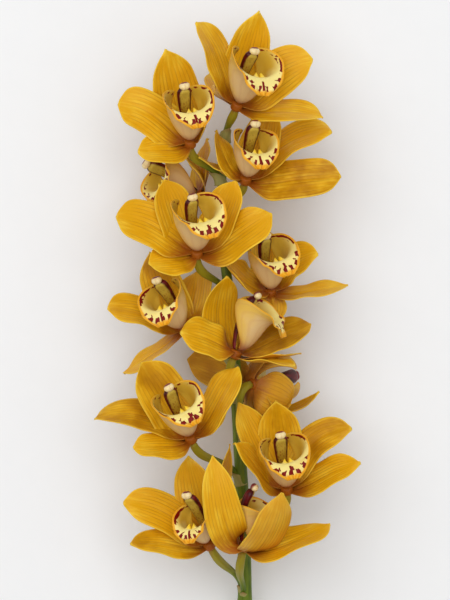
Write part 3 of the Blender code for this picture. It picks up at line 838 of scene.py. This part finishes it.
def build_tepal(number, index, bloom, blade):
    """One sepal or petal as a piece of its own."""
    rng = np.random.default_rng(100 * number + index)
    grid, along, across, half, length, facing = tepal_grid(bloom, blade, index in (1, 2), rng)
    rim = np.minimum(half[:, None] * (1.0 - np.abs(across)), (1.0 - along[:, None]) * length)
    thickness = TEPAL_THICKNESS * (TEPAL_EDGE + (1.0 - TEPAL_EDGE) * smooth_step(0.0, 4.0, rim))
    facing = facing[TEPAL_ROWS // 2]
    share = triples(across, along[:, None], 1.0)
    place = triples(half[:, None] * across, along[:, None] * length, rim)
    tone = np.full(share.shape, rng.uniform(0.0, 1.0))
    readings = shell_readings(0.0, share, place=place, tone=tone)
    bloom_name = f"bloom_{number:02d}"
    name = bloom_name + "_" + TEPAL_NAMES[index]
    node = bloom_name + "_perianth"
    return shell_piece(name, grid, thickness, facing, readings, golden_tepal, node)


def build_tepals(number, bloom):
    for index, blade in enumerate(bloom.tepals):
        build_tepal(number, index, bloom, blade)


for_each_bloom(build_tepals)
print("tepals made:", len(BLOOMS) * len(TEPAL_NAMES))

# %% [markdown]
# ## The lip
#
# The lip is one sheet with three lobes. Its two side lobes stand up beside the column, and its front
# lobe hangs over with a wavy rim. Two raised yellow ridges, the callus, run down its floor. The sheet
# is rolled from a flat outline: each cross line is an arc whose reach and curl change along the lip,
# which gives the trough, the lobes and the apron in one formula.

# %% Lip shape
LIP_ROWS = 60
LIP_COLUMNS = 49
RUFFLE = 1.1
CALLUS_HEIGHT = 1.8
LOBE_MIDDLE = 0.7


def lip_grid(bloom, rng):
    """The middle points of a lip, where each lies on it, and the way its floor's inside faces."""
    forward, lipward, side = bloom_frame(bloom)
    size = bloom.lip_size
    start = HUB_HALF_HEIGHT + SEAT_GAP + LIP_THICKNESS
    curve = [np.array((start, LIP_START, 0.0))] + [np.array(spot) * size for spot in LIP_FLOOR]
    along = np.linspace(0.0, 1.0, LIP_ROWS)
    spread = np.linspace(-1.0, 1.0, LIP_COLUMNS)
    across = np.sign(spread) * np.abs(spread) ** 1.15
    floor = bezier(curve, along)
    ahead = unit(np.gradient(floor, axis=0))
    inward = np.stack([ahead[:, 1], -ahead[:, 0], np.zeros(LIP_ROWS)], axis=1)
    reach = eased(REACH_KEYS, REACHES, along) * size
    curl = np.radians(eased(CURL_KEYS, CURL_DEGREES, along))
    radius = (reach / curl)[:, None]
    angle = curl[:, None] * across
    grid = floor[:, None] + inward[:, None] * (radius * (1.0 - np.cos(angle)))[..., None]
    grid[..., 2] = radius * np.sin(angle)
    lobe = np.sin(math.pi * np.minimum(along / LOBE_END, 1.0)) ** 2
    grid[..., 0] += LOBE_REACH * across**2 * lobe[:, None]
    ruffle = lip_ruffle(along[:, None], across, rng)
    grid += inward[:, None] * ruffle[..., None]
    length = np.sum(np.linalg.norm(np.diff(floor, axis=0), axis=1))
    world = hub_centre(bloom) + grid @ np.stack([forward, lipward, side])
    return world, along, across, reach, length, inward @ np.stack([forward, lipward, side])


def lip_ruffle(along, across, rng):
    """The waves of the front lobe's rim."""
    lobe = smooth_step(0.58, 0.72, along)
    phase = rng.uniform(0.0, 6.3)
    sides = np.abs(across) ** 2.5 * np.sin(34.0 * along + 2.0 * across + phase)
    tip = smooth_step(0.86, 1.0, along) * np.sin(9.0 * across + phase)
    return RUFFLE * lobe * (sides + 0.8 * tip)


def callus_relief(along, across, reach):
    """Two rounded ridges down the floor, which swell at their front ends."""
    off_middle = np.abs(across) * reach
    run = smooth_step(0.1, 0.2, along) * smooth_step(0.72, 0.66, along)
    swell = 0.6 + 1.6 * bump_at(0.63, 0.09, along)
    return CALLUS_HEIGHT * run * swell * bump_at(2.2, 1.3, off_middle)


def build_lip(number, bloom):
    rng = np.random.default_rng(5000 + number)
    grid, along, across, reach, length, inward = lip_grid(bloom, rng)
    rim = np.minimum(reach[:, None] * (1.0 - np.abs(across)), (1.0 - along[:, None]) * length)
    thickness = LIP_THICKNESS * (0.5 + 0.5 * smooth_step(0.0, 3.0, rim))
    facing = inward[LIP_ROWS // 2]
    relief = callus_relief(along[:, None], across, reach[:, None])
    share = triples(across, along[:, None], 1.0)
    place = triples(reach[:, None] * across, along[:, None] * length, rim)
    round_rim = np.arctan2(place[..., 0], place[..., 1] - LOBE_MIDDLE * length)
    tone = triples(rng.uniform(0.0, 1.0), round_rim, 0.0)
    readings = shell_readings(0.0, share, place=place, tone=tone)
    name = f"bloom_{number:02d}_lip"
    sheet = name + "_sheet"
    return shell_piece(sheet, grid, thickness, facing, readings, cream_lip, name, relief)


for_each_bloom(build_lip)
print("lips made:", len(BLOOMS))

# %% [markdown]
# ## Tubes: columns, caps and the stalk
#
# The rest of the stem is round. One function lays rings along a path, and another closes both ends.
# Each point of a ring is told how far it lies towards a guide and to its side, so the same tube makes
# a winged column, a two-lobed cap, a ribbed ovary and a grooved stalk.

# %% A tube of rings
def ring_angles(sides):
    """Even angles round a ring, starting from the guide."""
    return np.linspace(0.0, 2.0 * math.pi, sides, endpoint=False)


def tube_rings(path, toward, aside, guide, ahead=None):
    """Rings along a path, from how far each point lies towards the guide and to its side."""
    if ahead is None:
        ahead = unit(np.gradient(path, axis=0))
    level = unit(np.cross(ahead, guide))
    upright = unit(np.cross(level, ahead))
    return path[:, None] + upright[:, None] * toward[..., None] + level[:, None] * aside[..., None]


def tube_piece(name, rings, readings, finish, node):
    """Close the rings into one body, with a middle point on each end."""
    rows, sides = rings.shape[:2]
    points = np.concatenate([rings.reshape(-1, 3), rings[0].mean(0)[None], rings[-1].mean(0)[None]])
    points[:, 2] = np.maximum(points[:, 2], 0.0)
    faces = []
    for i in range(rows - 1):
        for k in range(sides):
            after = (k + 1) % sides
            faces.append((i * sides + k, i * sides + after, (i + 1) * sides + after, (i + 1) * sides + k))
    last = (rows - 1) * sides
    for k in range(sides):
        after = (k + 1) % sides
        faces.append((after, k, rows * sides))
        faces.append((last + k, last + after, rows * sides + 1))
    full = {}
    for reading, values in readings.items():
        flat = np.broadcast_to(values, rings.shape).reshape(-1, 3)
        full[reading] = np.concatenate([flat, flat[:1], flat[-1:]])
    signed = np.cross(rings[1, 0] - rings[0, 0], rings[0, 1] - rings[0, 0])
    outward = rings[0, 0] - rings[0].mean(0)
    if signed @ outward > 0:
        faces = [face[::-1] for face in faces]
    return make_piece(name, points, faces, full, finish, node)


print("a tube's ring is closed, so its last point joins its first")


# %% [markdown]
# The column arches over the lip, widens into wings and is hollowed below its tip. The cap is a dome
# on that tip, with a groove down its middle.

# %% Columns and caps
BLOOM_SIDES = 28
COLUMN_ROWS = 34
COLUMN_FIT = 0.94
HOLLOW_DEPTH = 0.45
WING_SWELL = 0.06
CAP_ROWS = 22
CAP_FIT = 0.97
CAP_GROOVE = 0.12


def column_path(bloom, shares):
    """The column's middle line, which arches over the lip and goes straight on past its end."""
    forward, lipward, _ = bloom_frame(bloom)
    start = (HUB_HALF_HEIGHT + SEAT_GAP, COLUMN_START, 0.0)
    slope = (np.array(COLUMN_ARCH[-1]) - np.array(COLUMN_ARCH[-2])) * 3.0
    past = np.maximum(shares - 1.0, 0.0)[:, None]
    local = bezier((start,) + COLUMN_ARCH, np.minimum(shares, 1.0)) + past * slope
    return hub_centre(bloom) + local[:, :1] * forward + local[:, 1:2] * lipward


def tube_readings(angle, shares, toward, aside, path):
    length = np.linalg.norm(np.diff(path, axis=0), axis=1).sum()
    share = triples(np.cos(angle), shares[:, None], 0.0)
    return {"share": share, "place": triples(aside, shares[:, None] * length, toward)}


def build_column(number, bloom):
    forward, lipward, _ = bloom_frame(bloom)
    shares = np.linspace(0.0, COLUMN_END, COLUMN_ROWS)
    radius = COLUMN_FIT * eased(COLUMN_SHARES, COLUMN_RADII, shares)[:, None]
    radius = radius * (1.0 - 0.3 * smooth_step(0.925, COLUMN_END, shares)[:, None])
    angle = ring_angles(BLOOM_SIDES)
    belly = np.clip(np.cos(angle), 0.0, 1.0)
    hollow = 1.0 - HOLLOW_DEPTH * belly**3 * bump_at(0.8, 0.12, shares)[:, None]
    wings = 1.0 + WING_SWELL * np.abs(np.sin(angle)) ** 6 * smooth_step(0.3, 0.8, shares)[:, None]
    toward = radius * COLUMN_FLATNESS * np.cos(angle) * hollow
    aside = radius * np.sin(angle) * wings
    path = column_path(bloom, shares)
    ahead = unit(np.gradient(path, axis=0))
    ahead[0] = forward
    rings = tube_rings(path, toward, aside, lipward, ahead)
    name = f"bloom_{number:02d}_column"
    readings = tube_readings(angle, shares, toward, aside, path)
    return tube_piece(name + "_arch", rings, readings, maroon_column, name)


def build_cap(number, bloom):
    lipward = bloom_frame(bloom)[1]
    turn = np.linspace(0.0, math.pi, CAP_ROWS)
    shares = (COLUMN_END + CAP_END) / 2 - (CAP_END - COLUMN_END) / 2 * np.cos(turn)
    radius = CAP_FIT * CAP_RADIUS * np.sin(np.clip(turn, 0.14, 3.0)) ** 0.75
    angle = ring_angles(BLOOM_SIDES)
    groove = 1.0 - CAP_GROOVE * bump_at(0.0, 0.3, np.sin(angle)) * smooth_step(0.6, 1.6, turn)[:, None]
    toward = radius[:, None] * CAP_FLATNESS * np.cos(angle) * groove
    aside = radius[:, None] * np.sin(angle)
    path = column_path(bloom, shares)
    rings = tube_rings(path, toward, aside, lipward)
    name = f"bloom_{number:02d}_anther_cap"
    readings = tube_readings(angle, turn / math.pi, toward, aside, path)
    return tube_piece(name + "_dome", rings, readings, ivory_cap, name)


for_each_bloom(build_column, build_cap)
print("columns and caps made:", 2 * len(BLOOMS))

# %% [markdown]
# ## The stalk, its pedicels and its bracts
#
# The main stalk, the rachis, lies on its cut end and rises under the blooms. A pedicel leaves it for
# each bloom, swells into a ribbed ovary and ends behind the hub, and a small papery bract clasps the
# pedicel's foot. The rachis has shallow grooves, which catch the light as fine lines.

# %% Rachis
RACHIS_ROWS = 110
STALK_SIDES = 32
GROOVE_COUNT = 8
GROOVE_DEPTH = 0.045
KNOT_SWELL = 0.07
CUT_SHRINK = (0.25, 0.6, 0.85, 0.97)
CUT_DISH = (0.5, 0.3, 0.15, 0.0)
TIP_SHRINK = (0.96, 0.85, 0.6, 0.3)


def rachis_radius(y):
    """The rachis is thickest at its foot and tapers upwards."""
    share = np.maximum((y - RACHIS[1][1]) / (RACHIS[-1][1] - RACHIS[1][1]), 0.0)
    return RACHIS_FOOT_RADIUS + (RACHIS_TIP_RADIUS - RACHIS_FOOT_RADIUS) * share**RACHIS_TAPER


def rachis_path(y):
    """The rachis' middle line, never lower than where its flat lower side meets the surface."""
    keys = [spot[1] for spot in RACHIS]
    x = eased(keys, [spot[0] for spot in RACHIS], y)
    z = eased(keys, [spot[2] for spot in RACHIS], y)
    return np.stack([x, y, np.maximum(z, rachis_radius(y) * math.cos(math.pi / RACHIS_SIDES))], axis=-1)


def build_rachis():
    """The ribbed main stalk. Its first rings lie on the cut and its last close the growing tip."""
    levels = np.linspace(RACHIS[0][1], RACHIS[-1][1], RACHIS_ROWS)
    cut_rows = len(CUT_SHRINK)
    y = np.concatenate([np.full(cut_rows, levels[0]), levels])
    path = rachis_path(y)
    path[:cut_rows, 1] += CUT_DISH
    angle = ring_angles(STALK_SIDES)
    shrink = np.concatenate([CUT_SHRINK, np.ones(RACHIS_ROWS)])
    shrink[-len(TIP_SHRINK):] = TIP_SHRINK
    knots = sum(KNOT_SWELL * bump_at(bloom.root + 2.0, 5.0, y) for bloom in BLOOMS)
    waves = 0.5 + 0.5 * np.cos(GROOVE_COUNT * angle)
    grooves = 1.0 - GROOVE_DEPTH * waves * (1.0 - knots[:, None])
    radius = (rachis_radius(y) * math.cos(math.pi / RACHIS_SIDES) * shrink * (1.0 + 0.5 * knots))[:, None]
    ahead = np.tile((0.0, 1.0, 0.0), (len(y), 1))
    ahead[cut_rows:] = unit(np.gradient(path[cut_rows:], axis=0))
    toward = radius * grooves * np.cos(angle)
    aside = radius * grooves * np.sin(angle)
    rings = tube_rings(path, toward, aside, UPWARD, ahead)
    cut = np.zeros((len(y), 1))
    cut[:cut_rows] = 1.0
    run = np.where(cut > 0, 0.0, y[:, None] - levels[0])
    over = np.where(cut > 0, toward, run)
    around = np.where(cut > 0, aside, angle * radius)
    readings = {
        "share": triples(angle, run, cut),
        "place": triples(around, over, 0.0),
        "tone": np.zeros(3),
    }
    return tube_piece("stalk_rachis", rings, readings, green_stalk, "flower_stalk")


build_rachis()
print("rachis rings:", RACHIS_ROWS)


# %% [markdown]
# A pedicel starts inside the rachis, bends upwards along it and reaches the hub from behind, in line
# with the bloom's axis. Six ribs swell on its last third, which is the ovary.

# %% Pedicels and ovaries
PEDICEL_ROWS = 36
PEDICEL_SIDES = 24
HUB_ROWS = 12
HUB_ROUNDING = 0.28
STALK_FIT = 0.95
OVARY_RIBS = 6
OVARY_SWELL = 0.07


def pedicel_curve(bloom):
    """The pedicel's route from inside the rachis to the back of the hub."""
    forward = bloom_frame(bloom)[0]
    root = rachis_path(np.array([bloom.root]))[0]
    end = hub_centre(bloom) - forward * (HUB_HALF_HEIGHT + SEAT_GAP)
    span = np.linalg.norm(end - root)
    lift = root + np.array((0.0, 0.35 * span, 0.0)) + (end - root) * 0.12
    return root, lift, end - forward * (0.4 * span), end


def build_pedicel(number, bloom):
    shares = np.linspace(0.0, 1.0, PEDICEL_ROWS)
    path = bezier(pedicel_curve(bloom), shares)
    radius = STALK_FIT * eased(PEDICEL_KEYS, PEDICEL_RADII, shares)[:, None]
    angle = ring_angles(PEDICEL_SIDES)
    ribs = 1.0 + OVARY_SWELL * np.cos(OVARY_RIBS * angle) * smooth_step(0.5, 0.75, shares)[:, None]
    toward = radius * ribs * np.cos(angle)
    aside = radius * ribs * np.sin(angle)
    rings = tube_rings(path, toward, aside, UPWARD)
    readings = tube_readings(angle, shares, toward, aside, path)
    readings["tone"] = np.broadcast_to(shares[:, None, None], rings.shape)
    name = f"stalk_pedicel_{number:02d}"
    return tube_piece(name, rings, readings, green_stalk, "flower_stalk")


def build_hub(number, bloom):
    """The short round end of the ovary, where the tepals' claws meet."""
    forward, lipward, _ = bloom_frame(bloom)
    turn = np.linspace(-1.0, 1.0, HUB_ROWS)
    path = hub_centre(bloom) + forward * (HUB_HALF_HEIGHT * turn)[:, None]
    radius = STALK_FIT * HUB_RADIUS * (1.0 - HUB_ROUNDING * np.abs(turn) ** 5)[:, None]
    angle = ring_angles(BLOOM_SIDES)
    toward = radius * np.cos(angle)
    aside = radius * np.sin(angle)
    rings = tube_rings(path, toward, aside, lipward)
    readings = {
        "share": np.array((0.5, 0.06, 1.0)),
        "place": triples(aside, 3.0 * turn[:, None], 4.0),
        "tone": np.full(3, 0.5),
    }
    name = f"bloom_{number:02d}"
    return tube_piece(name + "_hub", rings, readings, golden_tepal, name + "_perianth")


for_each_bloom(build_pedicel, build_hub)
print("pedicels and hubs made:", 2 * len(BLOOMS))

# %% [markdown]
# A bract is a leaf that stayed small. It is a shell again, rolled round the pedicel's foot and open
# at its point.

# %% Bracts
BRACT_LENGTH = 13.0
BRACT_THICKNESS = 0.5
BRACT_START = 2.0
BRACT_GAP = 0.8
BRACT_FLARE = 1.6
BRACT_CLASP = 120.0
BRACT_ROWS = 16
BRACT_COLUMNS = 13


def build_bract(number, bloom):
    """A small clasping scale under a pedicel's foot."""
    route = bezier(pedicel_curve(bloom), np.linspace(0.0, 1.0, 60))
    run = np.concatenate([[0.0], np.cumsum(np.linalg.norm(np.diff(route, axis=0), axis=1))])
    along = np.linspace(0.0, 1.0, BRACT_ROWS)
    wanted = BRACT_START + along * BRACT_LENGTH
    path = np.stack([np.interp(wanted, run, route[:, k]) for k in range(3)], axis=1)
    ahead = unit(np.gradient(path, axis=0))
    away = path[-1] - rachis_path(np.array([path[-1][1]]))[0]
    away = unit(away + np.array((0.0, -3.0, 0.0)))
    level = unit(np.cross(ahead, away))
    upright = np.cross(level, ahead)
    radius = (PEDICEL_RADII[0] + BRACT_GAP + BRACT_FLARE * (1.0 - along) ** 2)[:, None]
    clasp = np.radians(BRACT_CLASP * (1.0 - along**2.2) + 6.0)[:, None]
    across = np.linspace(-1.0, 1.0, BRACT_COLUMNS)
    angle = clasp * across
    offset = upright[:, None] * (radius * np.cos(angle))[..., None]
    grid = path[:, None] + offset + level[:, None] * (radius * np.sin(angle))[..., None]
    rim = np.broadcast_to((1.0 - along)[:, None] * BRACT_LENGTH, angle.shape)
    facing = upright[BRACT_ROWS // 2]
    thickness = np.full(angle.shape, BRACT_THICKNESS)
    place = triples(radius * angle, along[:, None] * BRACT_LENGTH, rim)
    readings = shell_readings(1.0, triples(across, along[:, None], 1.0), place=place)
    name = f"stalk_bract_{number:02d}"
    return shell_piece(name, grid, thickness, facing, readings, papery_bract, "flower_stalk")


for_each_bloom(build_bract)
print("bracts made:", len(BLOOMS))

# %% [markdown]
# ## The studio
#
# The stem lies on a plain pale surface and is seen from straight above, the way a florist lays out a
# stem to photograph it. A large soft light comes from the upper left, a weaker one fills from the
# right, and the surroundings are a plain white, so the shadows between the petals stay soft. The
# Standard view keeps the gold as saturated as it is.

# %% Floor
FLOOR_SIZE = 6.0
FLOOR_GAP = 0.0004
GREY = (0.865, 0.87, 0.875)
PALE_GREY = (0.885, 0.89, 0.895)


def floor_finish():
    finish = Finish("pale_floor", shine=0.2)
    spot = finish.add("ShaderNodeTexCoord", {}, {}, output="Object")
    grain = finish.noise(spot, 60.0, 3.0)
    colour = finish.blend(GREY, PALE_GREY, grain)
    return finish.done(colour, 0.8 + grain * 0.1)


def build_floor():
    size = FLOOR_SIZE / 2
    mesh = bpy.data.meshes.new("studio_floor")
    corners = [(-size, -size, 0.0), (size, -size, 0.0), (size, size, 0.0), (-size, size, 0.0)]
    mesh.from_pydata(corners, [], [(0, 1, 2, 3)])
    mesh.materials.append(floor_finish())
    floor = put_in_scene("studio_floor", mesh)
    floor.location.z = -FLOOR_GAP
    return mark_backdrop(floor)


build_floor()


# %% [markdown]
# The camera stands 2.4 m above the blooms with a long lens, so that near blooms don't grow large.
# One pixel of the picture is 0.65 mm at the height of the blooms.

# %% Camera
PIXEL_MM = 0.65
PICTURE_WIDTH = 450
PICTURE_HEIGHT = 600
MIDDLE_Y = 64.35
FOCUS_Z = 45.0
CAMERA_DISTANCE = 2400.0
SENSOR = 36.0


def build_camera():
    """Look straight down. The picture's longer side fills the sensor at the height of the blooms."""
    data = bpy.data.cameras.new("camera")
    data.sensor_width = SENSOR
    data.lens = SENSOR * CAMERA_DISTANCE / (PICTURE_HEIGHT * PIXEL_MM)
    data.clip_end = 20.0
    camera = put_in_scene("camera", data)
    camera.location = (0.0, MIDDLE_Y * MM, (CAMERA_DISTANCE + FOCUS_Z) * MM)
    bpy.context.scene.camera = camera
    print("lens:", round(data.lens, 1), "mm, view:", PICTURE_WIDTH * PIXEL_MM, "mm wide")


build_camera()


# %% [markdown]
# Both lights are almost 3 m wide, so a petal's shadow on the surface fades within its own width.

# %% Lights
def soft_light(name, place, size, power):
    """A square light aimed at the middle of the picture."""
    data = bpy.data.lights.new(name, "AREA")
    data.shape = "SQUARE"
    data.size = size
    data.energy = power
    light = put_in_scene(name, data)
    light.location = place
    aim = unit(np.array((0.0, MIDDLE_Y * MM, FOCUS_Z * MM)) - np.array(place))
    light.rotation_euler = (math.acos(-aim[2]), 0.0, math.atan2(aim[1], aim[0]) - math.pi / 2)


def surroundings(strength):
    world = bpy.data.worlds.new("studio")
    world.use_nodes = True
    backdrop = world.node_tree.nodes["Background"]
    backdrop.inputs["Color"].default_value = (1.0, 1.0, 1.0, 1.0)
    backdrop.inputs["Strength"].default_value = strength
    bpy.context.scene.world = world


soft_light("key_light", (-0.4, 0.7, 2.2), 2.8, 42.0)
soft_light("fill_light", (0.9, -0.6, 2.2), 3.0, 12.0)
surroundings(0.41)
bpy.context.scene.view_settings.view_transform = "Standard"
bpy.context.scene.view_settings.look = "None"
